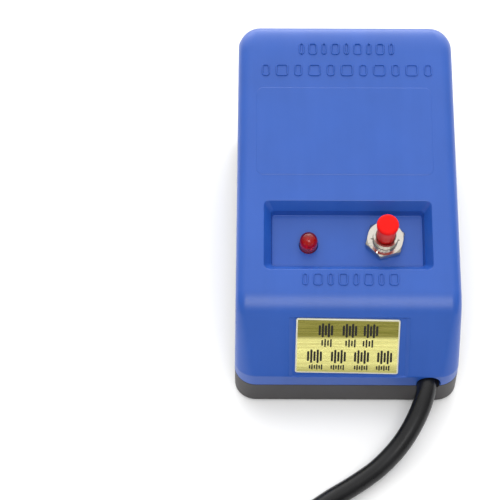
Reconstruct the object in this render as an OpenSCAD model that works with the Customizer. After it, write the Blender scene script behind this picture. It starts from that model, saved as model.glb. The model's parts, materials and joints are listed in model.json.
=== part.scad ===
// Benchtop watch demagnetizer: a wedge-shaped two-part plastic case with a recessed
// push button and pilot lamp, an open laminated coil below its sloping top, and a
// mains lead with a two-pin plug. Millimetres. The origin is on the bench under the
// middle of the case, +Z up. The button, the name plate and the lead face -Y.

/* [Case] */
// Width of the case at the seam
case_w = 62.8; // [62:0.2:64]
// Depth of the case, front to rear
case_l = 98; // [94:1:102]
// Gap under the case, left by the feet
foot_gap = 1; // [0.6:0.1:1.4]
// Height of the seam between base and cover
seam_z = 9; // [8.5:0.5:9.5]
// Height where the upright front turns into the sloping front
skirt_z = 13.8; // [13.2:0.2:14.4]
// Height of the line where the sloping front would meet the top
crest_z = 32.2; // [31.2:0.5:33.2]
// Slope of the front face, in degrees
face_angle = 55.4; // [54.4:0.5:56.4]
// Slope of the top, in degrees
top_angle = 13.4; // [12.4:0.1:14]
// Lean of the cover's sides, in degrees
draft = 0.8; // [0:0.1:1]
// Wall thickness of the case
wall = 2.2; // [2:0.1:2.4]
// Radius of the upright corners
corner_r = 6; // [5:0.5:6.5]
// Radius of the long edges of the top
edge_r = 3; // [2.5:0.5:3.5]
// Radius between the sloping front and the top
crest_r = 10; // [8:0.5:11]
// Radius between the top and the rear
rear_r = 6; // [5:0.5:6.5]

/* [Recess] */
// Width of the recess mouth
recess_w = 46.8; // [46:0.2:47.6]
// Length of the recess mouth along the top
recess_l = 20.4; // [20:0.2:21]
// Depth of the recess
recess_depth = 5.5; // [5:0.1:6]
// How far the recess walls lean in
recess_lean = 2.3; // [1.8:0.1:2.6]
// Middle of the recess, along the top from the crest
recess_u = 19.9; // [19.5:0.1:20.3]

/* [Lamp] */
// Diameter of the lamp lens
lamp_d = 5; // [5:0.1:5.1]
// Place of the lamp across the case
lamp_x = -10.9; // [-11.5:0.1:-10]
// Place of the lamp along the top
lamp_u = 18.9; // [18.5:0.1:19.5]

/* [Button] */
// Place of the button across the case
button_x = 10.5; // [10:0.1:11.5]
// Place of the button along the top
button_u = 20; // [19.5:0.1:20.5]
// Widest diameter of the button cap
cap_d = 6.1; // [6:0.1:6.2]
// Diameter of the lower part of the cap
cap_neck_d = 5.2; // [5:0.1:5.3]
// How far the button travels
travel = 2.5; // [2:0.1:2.5]
// Diameter of the threaded bushing
bushing_d = 7; // [7:0.1:7.1]
// Width across the flats of the panel nut
nut_flats = 10; // [9.8:0.1:10.2]

/* [Coil] */
// Middle of the coil, along the top from the crest
coil_u = 51.5; // [51:0.5:52]
// Width of the laminations
core_w = 48; // [47:0.5:48]
// Height of the laminations
core_h = 32; // [31:0.5:32]
// Thickness of the lamination stack
stack_l = 26; // [24:1:26]
// Number of lamination bundles in the stack
bundles = 13; // [8:1:26]

/* [Name plate] */
// Width of the name plate
plate_w = 28.6; // [27:0.2:30]
// Height of the name plate
plate_h = 16.4; // [15:0.2:17]

/* [Lead] */
// Diameter of the mains lead
lead_d = 5.5; // [5.4:0.1:5.6]
// Place of the lead across the case
lead_x = 22.5; // [22.3:0.1:22.7]
// Height of the lead where it leaves the case
lead_z = 10; // [9.9:0.1:10.1]
// Distance between the plug pins
pin_gap = 18.6; // [17.5:0.1:19]

/* [Hidden] */
$fn = 48;

// Where the sloping front would meet the top, and the same for the top and the rear
front_y = -case_l / 2;
rear_y = case_l / 2;
crest_y = front_y + (crest_z - skirt_z) / tan(face_angle);
rear_top_z = crest_z + (rear_y - crest_y) * tan(top_angle);

// Inward normals of the four sides of the case's outline in the Y-Z plane
front_in = [1, 0];
face_in = [sin(face_angle), -cos(face_angle)];
top_in = [sin(top_angle), -cos(top_angle)];
rear_in = [-1, 0];

// Screws and their pillars
pillars = [[-27, -26], [27, -26], [-26, 42], [26, 42]];
pillar_r = 3.2;
pillar_l = 45;
boss_r = 4;
boss_z = 6;
screw_r = 1.45;
screw_tip_z = 15;
head_r = 2.8;
head_low_z = 2;
head_high_z = 4;
base_top_z = foot_gap + 2;
foot_r = 4.5;
foot_sink = 0.8;
feet = [[-20, -41], [20, -41], [-19, 41], [19, 41]];

// Lip of the base that locates the cover
lip_gap = 0.15;
lip_t = 1.2;
lip_top_z = seam_z + 2.5;
lip_low_z = 6;

// Opening in the lip for the lead and its clamp
lip_cut_at = [17, -48];
lip_cut = [13, 17];

// Recess: its walls are steeper below the knee. Heights are above the top's plane
knee_in = recess_lean - 0.35;
knee_depth = recess_depth - 2.5;
recess_mouth_r = 1.5;
recess_floor_r = 0.9;
recess_wall_w = 1.8;
recess_wall_l = 1.6;
floor_t = 2;
floor_h = -recess_depth;
under_h = floor_h - floor_t;

// Lamp
lamp_r = lamp_d / 2;
lamp_dome_h = -2.4;
flange_t = 1;
lead_gap = 1.27;
lead_t = 0.5;
lamp_low_h = under_h - flange_t;
lamp_leads_low_h = -13;
resistor_high_h = -14;
resistor_l = 6.5;
diode_high_h = -22;
diode_l = 4.5;

// Switch
bushing_r = bushing_d / 2;
bushing_high_h = -0.8;
bore_r = 2.9;
bushing_floor_h = -7;
stem_r = 1.5;
stem_gap = 0.1;
housing_high_h = under_h - 1;
housing_low_h = -21.5;
housing_r = 5.2;
washer_t = 0.5;
nut_t = 2;
cap_high_h = 8;
cap_low_h = -2.3;
collar_high_h = -9.6;
contact_high_h = -14.6;
contact_t = 0.4;
spring_low_h = housing_low_h + 1;
spring_r = 1.7;
spring_wire_r = 0.2;
spring_turns = 5;
terminal_gap = 3.2;
terminal_high_h = contact_high_h - contact_t - travel - 0.05;
terminal_low_h = -26;

// Coil
pole_h = -2.7;
leg_w = 8;
middle_w = 16;
yoke_h = pole_h - core_h;
window_h = yoke_h + leg_w;
former_gap = 0.2;
former_t = 1;
cheek_t = 1.2;
winding_t = 4.8;
tape_t = 0.3;
pad_t = 0.8;
rib_t = 3;
rib_x = 16;
coil_pin_x = 8;
coil_pin_t = 0.8;
coil_pin_low_u = 28;
coil_pin_high_u = 34.5;
coil_pin_h = window_h + former_gap + cheek_t / 2;

// Name plate
plate_t = 0.5;
plate_skew = -0.9;
plate_x = -0.2;
plate_v = 9.15;
pocket_x = 0.3;
pocket_w = 33.4;
pocket_low_v = -0.4;
pocket_top_v = 17.9;
pocket_depth = 0.6;

// Lead, coil and plug
lead_r = lead_d / 2;
exit_x = 22.8;
exit_r = 3.2;
clamp_y = [-42, -34];
clamp_screw_gap = 4.4;
lead_start_y = -33;
coil_at = [0, -129];
coil_r = 31;
coil_rows = 3;
coil_top_z = coil_rows * lead_d;
tie_t = 0.7;
tie_w = 4;
tie_gap = 0.1;
plug_x = coil_at[0] - 22;
plug_w = 35.3;
plug_t = 13.7;
plug_z = coil_top_z + 0.1 + plug_t / 2;
plug_face_y = -170;
plug_back_y = -145;
plug_tail_y = -124;
plug_nose_l = 14;
relief_r = 4.6;
relief_tip_r = 3.6;
pin_r = 2;
pin_l = 19;
pin_root_r = 1.7;
pin_root_l = 5.9;

// The lead from its clamp, out of the case, down to the bench and on to its coil
lead_route = [
    [lead_x, lead_start_y, lead_z], [lead_x, -40, lead_z], [lead_x, -46, lead_z],
    [22.1, -50.5, 9.9], [21.1, -54.2, 9.4], [19.8, -57.4, 8.6], [17.7, -61.3, 7.3],
    [15, -65.2, 5.8], [11.7, -68.9, 4.5], [7.2, -73, 3.5], [1.1, -77.3, 2.9],
    [-5.5, -81.6, 2.75], [-12, -86.7, 2.75], [-18, -92.8, 2.75], [-24, -99.5, 2.75],
    [-29.2, -107.5, 2.75], [-32.4, -116.2, 2.75], [-33.54, -125.3, 2.75]];
// The end of the lead, off the top of the coil and into the plug
tail_route = [
    [19.62, -108.68, 17.3], [12.38, -103.61, 18.7], [4.42, -101.1, 19.25], [-2.13, -101.03, 19.6],
    [-8.44, -102.8, 20.4], [-13.98, -106.3, 21.4], [-18.31, -111.23, 22.4],
    [-21.05, -117.19, 23.1], [plug_x, plug_tail_y, plug_z]];

// Where the wires inside the case end
coil_pin_live = on_top(coil_pin_x, 30.6, coil_pin_h - 1.3);
coil_pin_lamp = on_top(coil_pin_x, 28.6, coil_pin_h - 1.3);
coil_pin_neutral = on_top(-coil_pin_x, 30.6, coil_pin_h - 1.3);
coil_pin_lamp_2 = on_top(-coil_pin_x, 28.6, coil_pin_h - 1.3);
terminal_a = on_top(button_x + terminal_gap, button_u, terminal_low_h - 0.9);
terminal_b = on_top(button_x - terminal_gap, button_u, terminal_low_h - 0.9);
resistor_end = on_top(lamp_x - lead_gap, lamp_u, resistor_high_h - resistor_l - 1.6);
diode_end = on_top(lamp_x + lead_gap, lamp_u, diode_high_h - diode_l - 1.6);
down = [0, 0, -1];

// ---- Functions ----

function unit(v) = v / norm(v);
// Where two outline sides that meet at p would meet if both moved in by d
function inset(p, n1, n2, d) = p + d * (n1 + n2) / (1 + n1 * n2);
function crest_at(d) = inset([crest_y, crest_z], face_in, top_in, d);
function rear_at(d) = inset([rear_y, rear_top_z], top_in, rear_in, d);
// Half the cover's width at a height
function half_width(z) = case_w / 2 - (z - seam_z) * tan(draft);
function skirt_at(d) = inset([front_y, skirt_z], front_in, face_in, d);
// A point of the case frame from its place across, along and above the top
function on_top(x, u, h) = [
    x, crest_y + u * cos(top_angle) - h * sin(top_angle),
    crest_z + u * sin(top_angle) + h * cos(top_angle)];
// The same without x, for outlines in the Y-Z plane
function on_side(u, h) = let (p = on_top(0, u, h)) [p[1], p[2]];
// A smooth curve through points, with n steps between each two
function curve_point(a, b, c, d, t) =
    0.5 * ((2 * b) + (c - a) * t + (2 * a - 5 * b + 4 * c - d) * t * t
    + (3 * b - a - 3 * c + d) * t * t * t);
function smooth(p, n) = [
    for (i = [0:len(p) - 2], k = [0:n - 1])
        curve_point(p[max(i - 1, 0)], p[i], p[i + 1], p[min(i + 2, len(p) - 1)], k / n),
    p[len(p) - 1]];
function tangents(p) = [
    for (i = [0:len(p) - 1]) unit(p[min(i + 1, len(p) - 1)] - p[max(i - 1, 0)])];
function across(n, t) = unit(n - (n * t) * t);
// A normal at each point that turns no more than the curve does
function normals(t, first) = [
    for (i = 0, n = across(first, t[0]); i < len(t);
        n = i + 1 < len(t) ? across(n, t[i + 1]) : n, i = i + 1) n];

// ---- Helpers ----

module top_frame() {
    translate([0, crest_y, crest_z]) rotate([top_angle, 0, 0]) children();
}

module face_frame() {
    translate([0, front_y, skirt_z]) rotate([face_angle, 0, 0]) children();
}

module at_lamp() {
    top_frame() translate([lamp_x, lamp_u, 0]) children();
}

module at_button() {
    top_frame() translate([button_x, button_u, 0]) children();
}

// A cylinder between two heights
module rod(r, low, high) {
    translate([0, 0, low]) cylinder(r = r, h = high - low);
}

// A block centred across and along, between two heights
module block(w, l, low, high) {
    translate([-w / 2, -l / 2, low]) cube([w, l, high - low]);
}

// A rectangle with round corners, made of plain squares and circles
module round_rect(w, l, r) {
    square([w - 2 * r, l], center = true);
    square([w, l - 2 * r], center = true);
    for (x = [-1, 1], y = [-1, 1])
        translate([x * (w / 2 - r), y * (l / 2 - r)]) circle(r = r);
}

module tub(w, l, r, low, high) {
    translate([0, 0, low]) linear_extrude(high - low) round_rect(w, l, r);
}

// A round bar along X whose ends are rounded with radius e
module round_bar(y, z, r, half, e) {
    for (s = [-1, 1])
        translate([s * (half - e), y, z]) rotate([0, 90, 0])
            rotate_extrude($fn = 40) {
                translate([r - e, 0]) circle(r = e, $fn = 24);
                translate([0, -e]) square([r - e, 2 * e]);
            }
}

// A tube along a list of points
module tube(points, r, sides) {
    t = tangents(points);
    n = normals(t, abs(t[0][2]) > 0.8 ? [1, 0, 0] : [0, 0, 1]);
    rings = len(points);
    corners = [
        for (i = [0:rings - 1], k = [0:sides - 1])
            let (a = 360 * k / sides, b = cross(t[i], n[i]))
                points[i] + r * (cos(a) * n[i] + sin(a) * b)];
    walls = [
        for (i = [0:rings - 2], k = [0:sides - 1])
            let (m = (k + 1) % sides, a = i * sides, b = a + sides)
                [a + k, b + k, b + m, a + m]];
    first = [for (k = [0:sides - 1]) k];
    last = [for (k = [sides - 1:-1:0]) (rings - 1) * sides + k];
    polyhedron(points = corners, faces = concat(walls, [first, last]), convexity = 6);
}

// The outside of the cover, or the space inside it, with every face moved in by d
module cover_form(d, low, e) {
    r = corner_r - d;
    disc = 0.02;
    front = front_y + d + r;
    back = rear_y - d - r;
    skirt = skirt_at(d);
    crest = crest_at(crest_r);
    rear = rear_at(rear_r);
    hull() {
        for (x = [-1, 1], p = [[front, low], [front, skirt[1] - disc], [back, low], [back, rear[1] - 4]])
            translate([x * (half_width(p[1]) - d - r), p[0], p[1]])
                cylinder(r = r, h = disc, $fn = 40);
        round_bar(crest[0], crest[1], crest_r - d, half_width(crest[1]) - d, e);
        round_bar(rear[0], rear[1], rear_r - d, half_width(rear[1]) - d, e);
    }
}

// ---- Case ----

// A thin slice of the recess, from how far its walls have leaned in at a depth
module recess_slice(lean, depth) {
    r = recess_mouth_r + (recess_floor_r - recess_mouth_r) * lean / recess_lean;
    translate([0, 0, -depth]) linear_extrude(0.01)
        round_rect(recess_w - 2 * lean, recess_l - 2 * lean, r, $fn = 24);
}

module recess_cut() {
    top_frame() translate([0, recess_u, 0]) {
        hull() {
            recess_slice(recess_lean, recess_depth);
            recess_slice(knee_in, knee_depth);
        }
        hull() {
            recess_slice(knee_in, knee_depth);
            recess_slice(0, 0);
        }
        tub(recess_w, recess_l, recess_mouth_r, 0.005, 6, $fn = 24);
    }
}

module core_corner_ribs() {
    rib = 1.4;
    gap = 0.3;
    side = 6;
    top_frame() translate([0, coil_u, 0])
        for (x = [-1, 1], y = [-1, 1]) scale([x, y, 1]) {
            translate([core_w / 2 + gap, stack_l / 2 + gap - side, -8])
                cube([rib, side + rib, 7]);
            translate([core_w / 2 + gap + rib - 9, stack_l / 2 + gap, -8])
                cube([9, rib, 7]);
        }
}

module cover_pillars() {
    for (p = pillars)
        translate([p[0], p[1], boss_z]) cylinder(r = pillar_r, h = pillar_l);
}

// The outline of the case in the Y-Z plane, moved in by d and drawn across the width
module side_form(d) {
    s = skirt_at(d);
    c = crest_at(d);
    r = rear_at(d);
    translate([case_w / 2 - d, 0, 0]) rotate([90, 0, -90])
        linear_extrude(case_w - 2 * d)
            polygon([for (p = [[s[0], 0], s, c, r, [r[0], 0]]) [-p[0], p[1]]]);
}

module upper_cover() {
    color("royalblue") difference() {
        union() {
            difference() {
                cover_form(0, seam_z, edge_r);
                difference() {
                    cover_form(wall, seam_z - 1, 1);
                    top_frame() translate([0, recess_u, 0])
                        block(recess_w + 2 * recess_wall_w, recess_l + 2 * recess_wall_l, under_h, 10);
                }
            }
            core_corner_ribs();
            intersection() {
                cover_pillars();
                side_form(wall / 2);
            }
        }
        recess_cut();
        for (p = pillars)
            translate([p[0], p[1], boss_z - 1]) cylinder(r = screw_r + 0.05, h = screw_tip_z + 2 - boss_z);
        at_lamp() rod(lamp_r + 0.05, under_h - 1, 1);
        at_button() rod(bushing_r + 0.1, under_h - 1, 1);
        translate([exit_x, front_y - 1, lead_z]) rotate([-90, 0, 0]) cylinder(r = exit_r, h = 6);
        face_frame() translate([pocket_x - pocket_w / 2, pocket_low_v, -pocket_depth])
            cube([pocket_w, pocket_top_v - pocket_low_v, 4]);
    }
}

module saddle_ribs() {
    seat_h = yoke_h - pad_t;
    stop_h = yoke_h + 3;
    near = coil_u - stack_l / 2 - 0.3;
    far = coil_u + stack_l / 2 + 0.3;
    outline = [
        on_side(near - 2.5, stop_h), on_side(near, stop_h), on_side(near, seat_h),
        on_side(far, seat_h), on_side(far, stop_h), on_side(far + 2.5, stop_h)];
    foot_line = [[outline[5][0], base_top_z - 0.5], [outline[0][0], base_top_z - 0.5]];
    for (x = [-rib_x, rib_x])
        translate([x + rib_t / 2, 0, 0]) rotate([90, 0, -90]) linear_extrude(rib_t)
            polygon([for (p = concat(outline, foot_line)) [-p[0], p[1]]]);
}

module clamp_seat() {
    translate([lead_x - 7, clamp_y[0], base_top_z - 0.5])
        cube([13.1, clamp_y[1] - clamp_y[0], lead_z - 0.3 - base_top_z + 0.5]);
}

module base_plate() {
    inner_w = case_w - 2 * wall;
    inner_l = case_l - 2 * wall;
    inner_r = corner_r - wall;
    lip_w = inner_w - 2 * lip_gap;
    lip_l = inner_l - 2 * lip_gap;
    lip_r = inner_r - lip_gap;
    bore_w = lip_w - 2 * lip_t;
    color("dimgray") difference() {
        union() {
            difference() {
                union() {
                    tub(case_w, case_l, corner_r, foot_gap, seam_z);
                    tub(lip_w, lip_l, lip_r, seam_z - 1, lip_top_z);
                }
                tub(inner_w, inner_l, inner_r, base_top_z, lip_low_z);
                tub(bore_w, lip_l - 2 * lip_t, lip_r - lip_t, lip_low_z - 0.5, lip_top_z + 1);
                translate([lip_cut_at[0], lip_cut_at[1], seam_z]) cube([lip_cut[0], lip_cut[1], 5]);
                for (p = pillars) translate([p[0], p[1], seam_z]) cylinder(r = boss_r, h = 5);
            }
            for (p = pillars) translate([p[0], p[1], 0]) rod(boss_r - 0.2, base_top_z - 0.5, boss_z);
            saddle_ribs();
            clamp_seat();
        }
        for (p = pillars) translate([p[0], p[1], 0]) {
            rod(screw_r + 0.25, 0, boss_z + 1);
            rod(head_r + 0.3, 0, head_high_z);
            rod(pillar_r + 0.15, boss_z, lip_top_z + 1);
        }
        for (p = feet) translate([p[0], p[1], 0]) rod(foot_r + 0.1, 0, foot_gap + foot_sink);
        translate([exit_x, front_y - 1, lead_z]) rotate([-90, 0, 0]) cylinder(r = exit_r, h = 6);
        translate([lead_x, front_y + 3, lead_z]) rotate([-90, 0, 0]) cylinder(r = lead_r + 0.05, h = 20);
        for (s = [-1, 1]) translate([lead_x + s * clamp_screw_gap, (clamp_y[0] + clamp_y[1]) / 2, 0])
            rod(0.95, base_top_z + 1, lead_z + 1);
    }
}

module case_screw() {
    difference() {
        union() {
            rod(head_r, head_low_z, head_high_z);
            rod(screw_r, head_high_z - 0.1, screw_tip_z);
        }
        for (a = [0, 90]) rotate([0, 0, a]) block(3.4, 0.7, head_low_z - 1, head_low_z + 1.1);
    }
}

module case_screws() {
    color("silver") for (p = pillars) translate([p[0], p[1], 0]) case_screw();
}

module rubber_feet() {
    color("black") for (p = feet) translate([p[0], p[1], 0]) rod(foot_r, 0, foot_gap + foot_sink);
}

module name_plate() {
    color("goldenrod") face_frame() translate([plate_x, plate_v, -pocket_depth])
        rotate([0, 0, plate_skew]) tub(plate_w, plate_h, 0.6, 0, plate_t);
}

// ---- Lamp ----

// The two posts inside the lamp: a narrow one and one with the reflector cup
module lamp_posts(grow) {
    t = lead_t + 2 * grow;
    for (s = [-1, 1]) translate([s * lead_gap, 0, 0]) block(t, t, lamp_leads_low_h, -5.2);
    translate([-lead_gap + 0.3, 0, 0]) block(1.9 + 2 * grow, t, -6, -4.4 + grow);
    translate([lead_gap - 0.05, 0, 0]) block(0.9 + 2 * grow, t, -6, -4.9 + grow);
}

module lamp_lens() {
    color("crimson") at_lamp() difference() {
        union() {
            rod(lamp_r, under_h - 0.01, lamp_dome_h);
            rod(lamp_r + 0.4, lamp_low_h, under_h);
            translate([0, 0, lamp_dome_h]) intersection() {
                sphere(r = lamp_r);
                rod(lamp_r + 1, 0, lamp_r + 1);
            }
        }
        lamp_posts(0.01);
    }
}

module lamp_leads() {
    color("silver") at_lamp() lamp_posts(0);
}

module lamp_resistor() {
    low = resistor_high_h - resistor_l;
    color("tan") at_lamp() translate([-lead_gap, 0, 0]) difference() {
        union() {
            rod(1.1, low, resistor_high_h);
            rod(1.25, low + 0.2, low + 1.8);
            rod(1.25, resistor_high_h - 1.8, resistor_high_h - 0.2);
        }
        rod(0.31, low - 1, resistor_high_h + 1);
    }
}

module lamp_diode() {
    color("dimgray") at_lamp() translate([lead_gap, 0, 0]) difference() {
        rod(1.2, diode_high_h - diode_l, diode_high_h);
        rod(0.31, diode_high_h - diode_l - 1, diode_high_h + 1);
    }
}

module component_leads() {
    top = lamp_leads_low_h - 0.02;
    color("silver") at_lamp() {
        translate([-lead_gap, 0, 0]) rod(0.3, resistor_high_h - resistor_l - 1.5, top);
        translate([lead_gap, 0, 0]) rod(0.3, diode_high_h - diode_l - 1.5, top);
    }
}

// ---- Push button ----

module button_cap() {
    neck = cap_neck_d / 2;
    crown = cap_d / 2;
    color("red") at_button() difference() {
        rotate_extrude() polygon([
            [0, cap_low_h], [neck - 0.2, cap_low_h], [neck, cap_low_h + 0.2], [neck, 2.2],
            [crown, 7.5], [crown - 0.1, 7.8], [crown - 0.4, cap_high_h], [0, cap_high_h]]);
        rod(stem_r + 0.02, cap_low_h - 1, 3.5);
    }
}

module button_plunger() {
    color("white") at_button() {
        rod(stem_r, contact_high_h, 3.4);
        rod(2.6, collar_high_h - 1.4, collar_high_h);
        rod(1, contact_high_h - 2.4, contact_high_h + 0.1);
    }
}

module moving_contact() {
    color("gold") at_button() difference() {
        block(8, 2.4, contact_high_h - contact_t, contact_high_h - 0.01);
        rod(1.05, contact_high_h - 1, contact_high_h + 1);
    }
}

module button_spring() {
    high = contact_high_h - contact_t - spring_wire_r - 0.02;
    low = spring_low_h + spring_wire_r + 0.02;
    steps = 14 * spring_turns;
    points = [
        for (i = [0:steps]) let (a = 360 * spring_turns * i / steps, k = i / steps)
            [spring_r * cos(a), spring_r * sin(a), low + (high - low) * k]];
    color("silver") at_button() tube(points, spring_wire_r, 8);
}

module switch_bushing() {
    pitch = 0.75;
    tooth = 0.35;
    grooves = 8;
    color("silver") at_button() difference() {
        union() {
            rod(bushing_r, under_h - 0.01, bushing_high_h);
            rod(5, housing_high_h, under_h);
        }
        rod(bore_r, bushing_floor_h, bushing_high_h + 1);
        rod(stem_r + stem_gap, housing_high_h - 1, bushing_floor_h + 1);
        for (i = [0:grooves - 1]) translate([0, 0, bushing_high_h - 0.4 - i * pitch])
            rotate_extrude() polygon([
                [bushing_r + 0.1, -tooth], [bushing_r + 0.1, tooth], [bushing_r - 0.3, 0]]);
    }
}

module switch_nut() {
    low = floor_h + washer_t;
    point_r = nut_flats / 2 / cos(30);
    color("lightgray") at_button() difference() {
        intersection() {
            rotate([0, 0, 16]) translate([0, 0, low]) cylinder(r = point_r, h = nut_t, $fn = 6);
            rotate_extrude() polygon([
                [0, low], [point_r + 0.3, low], [point_r + 0.3, low + nut_t - 0.6],
                [point_r - 0.75, low + nut_t], [0, low + nut_t]]);
        }
        rod(bushing_r + 0.03, low - 1, low + nut_t + 1);
    }
}

module switch_lock_washer() {
    color("silver") at_button() difference() {
        rod(nut_flats / 2 - 0.1, floor_h, floor_h + washer_t - 0.01);
        rod(bushing_r + 0.1, floor_h - 1, floor_h + 1);
    }
}

module terminal_strip(grow) {
    t = 0.5 + 2 * grow;
    w = 2.4 + 2 * grow;
    for (s = [-1, 1]) translate([s * terminal_gap, 0, 0])
        block(t, w, terminal_low_h, terminal_high_h);
}

module switch_housing() {
    color("black") at_button() difference() {
        rod(housing_r, housing_low_h, housing_high_h - 0.01);
        rod(housing_r - 1, housing_low_h + 1, collar_high_h + 0.1);
        rod(stem_r + stem_gap, collar_high_h - 1, housing_high_h + 1);
        terminal_strip(0.02);
    }
}

module switch_terminals() {
    color("gold") at_button() difference() {
        terminal_strip(0);
        for (s = [-1, 1]) translate([s * terminal_gap, 0, terminal_low_h + 1.5])
            rotate([0, 90, 0]) cylinder(r = 0.6, h = 4, center = true);
    }
}

// ---- Coil ----

module at_coil() {
    top_frame() translate([0, coil_u, 0]) children();
}

module lamination_outline() {
    half = core_w / 2;
    mid = middle_w / 2;
    polygon([
        [-half, yoke_h], [half, yoke_h], [half, pole_h], [half - leg_w, pole_h],
        [half - leg_w, window_h], [mid, window_h], [mid, pole_h], [-mid, pole_h],
        [-mid, window_h], [leg_w - half, window_h], [leg_w - half, pole_h], [-half, pole_h]]);
}

module core_laminations() {
    step = stack_l / bundles;
    color("slategray") at_coil()
        for (i = [0:bundles - 1])
            translate([0, -stack_l / 2 + (i + 1) * step - 0.1, 0]) rotate([90, 0, 0])
                linear_extrude(step - 0.1) lamination_outline();
}

module coil_bobbin() {
    hole_w = middle_w + 2 * former_gap;
    hole_l = stack_l + 2 * former_gap;
    cheek_w = 30.8;
    cheek_l = hole_l + 2 * former_t + 2 * winding_t + 0.8;
    high = pole_h - former_gap;
    low = window_h + former_gap;
    color("ivory") at_coil() difference() {
        union() {
            tub(hole_w + 2 * former_t, hole_l + 2 * former_t, 0.5, low, high);
            tub(cheek_w, cheek_l, 2, low, low + cheek_t);
            tub(cheek_w, cheek_l, 2, high - cheek_t, high);
        }
        block(hole_w, hole_l, low - 1, high + 1);
        translate([0, -coil_u, 0]) coil_pin_pair(0.01);
    }
}

// The wound copper between the cheeks of the bobbin
module coil_ring(inner, outer, low, high) {
    w = middle_w + 2 * former_gap + 2 * former_t;
    l = stack_l + 2 * former_gap + 2 * former_t;
    difference() {
        tub(w + 2 * outer, l + 2 * outer, max(0.5, outer), low, high);
        tub(w + 2 * inner, l + 2 * inner, max(0.5, inner), low - 1, high + 1);
    }
}

module coil_winding() {
    low = window_h + former_gap + cheek_t + 0.02;
    high = pole_h - former_gap - cheek_t - 0.02;
    color("peru") at_coil() coil_ring(0.01, winding_t, low, high);
}

module winding_tape() {
    middle = (window_h + pole_h) / 2;
    color("gold") at_coil() coil_ring(winding_t + 0.01, winding_t + tape_t, middle - 7, middle + 7);
}

module coil_pin_pair(grow) {
    t = coil_pin_t / 2 + grow;
    for (s = [-1, 1]) translate([s * coil_pin_x - t, coil_pin_low_u, coil_pin_h - t])
        cube([2 * t, coil_pin_high_u - coil_pin_low_u + grow, 2 * t]);
}

module coil_pins() {
    color("silver") top_frame() coil_pin_pair(0);
}

module core_pads() {
    color("black") at_coil() for (x = [-rib_x, rib_x]) translate([x, 0, 0])
        block(rib_t, stack_l, yoke_h - pad_t + 0.02, yoke_h - 0.02);
}

// ---- Lead inside the case ----

module cord_clamp() {
    middle_y = (clamp_y[0] + clamp_y[1]) / 2;
    color("dimgray") difference() {
        union() {
            translate([lead_x - 6.7, clamp_y[0] + 1, lead_z])
                cube([12.6, clamp_y[1] - clamp_y[0] - 2, 3]);
            translate([lead_x, clamp_y[0] + 1, lead_z]) rotate([-90, 0, 0])
                cylinder(r = lead_r + 1.4, h = clamp_y[1] - clamp_y[0] - 2);
        }
        translate([lead_x, clamp_y[0], lead_z]) rotate([-90, 0, 0])
            cylinder(r = lead_r + 0.05, h = 10);
        translate([lead_x, middle_y, 0]) block(20, 10, 0, lead_z);
        for (s = [-1, 1]) translate([lead_x + s * clamp_screw_gap, middle_y, 0]) {
            rod(1.1, lead_z - 1, lead_z + 10);
            rod(1.7, lead_z + 1.8, lead_z + 10);
        }
    }
}

module clamp_screws() {
    color("silver") for (s = [-1, 1])
        translate([lead_x + s * clamp_screw_gap, (clamp_y[0] + clamp_y[1]) / 2, 0]) difference() {
            union() {
                rod(0.9, lead_z - 5.5, lead_z + 2);
                rod(1.6, lead_z + 1.85, lead_z + 3);
            }
            block(4, 0.5, lead_z + 2.4, lead_z + 4);
        }
}

module wire(points, r = 0.8) {
    tube(smooth(points, 3), r, 8);
}

module live_wire() {
    color("saddlebrown") wire([
        [lead_x + 1.2, lead_start_y + 0.1, lead_z], [lead_x + 0.6, -29.5, 9.6], [20, -24.5, 7.2],
        [16.5, -18, 5.6], terminal_a + 3.6 * down, terminal_a]);
}

module neutral_wire() {
    color("royalblue") wire([
        [lead_x - 1.2, lead_start_y + 0.1, lead_z], [lead_x - 1.6, -29.5, 8.6], [16, -25, 5.5],
        [6, -21, 4.6], [-3, -13, 4.6], [-8, -5, 5.5], coil_pin_neutral + 3 * down, coil_pin_neutral]);
}

module switch_wire() {
    color("saddlebrown") wire([
        terminal_b, terminal_b + 2.2 * down, [7.4, -7.5, 6.4], [7.8, -3.5, 6.6],
        coil_pin_live + 3 * down, coil_pin_live]);
}

module lamp_wire_live() {
    color("red") wire([
        resistor_end, resistor_end + 2 * down, [-13.5, -10, 8.5], [-6, -8, 8.8], [1.5, -6.5, 9],
        coil_pin_lamp + [-1.5, 0, -3], coil_pin_lamp], 0.6);
}

module lamp_wire_neutral() {
    color("black") wire([
        diode_end, diode_end + 1.5 * down, [-9.4, -8, 6.6], coil_pin_lamp_2 + 3 * down,
        coil_pin_lamp_2], 0.6);
}

// ---- Mains lead outside the case ----

module mains_cord() {
    color("#262628") tube(smooth(lead_route, 2), lead_r, 10);
}

module cord_tail() {
    color("#262628") tube(smooth(tail_route, 2), lead_r, 10);
}

module cord_coil() {
    turn = 2 * lead_d;
    color("#262628") difference() {
        translate([coil_at[0], coil_at[1], 0]) rotate_extrude($fn = 72)
            translate([coil_r, coil_top_z / 2]) round_rect(turn, coil_top_z, 2);
        translate([coil_at[0] + coil_r, coil_at[1], 0])
            block(turn + 4, tie_w + 0.2, -1, tie_t + 0.05);
    }
}

module cord_tie() {
    turn = 2 * lead_d;
    color("white") translate([coil_at[0] + coil_r, coil_at[1], 0]) difference() {
        block(turn + 2 * tie_gap + 2 * tie_t, tie_w, 0, coil_top_z + 2 * tie_t);
        block(turn + 2 * tie_gap, tie_w + 1, tie_t, coil_top_z + tie_t);
    }
}

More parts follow.
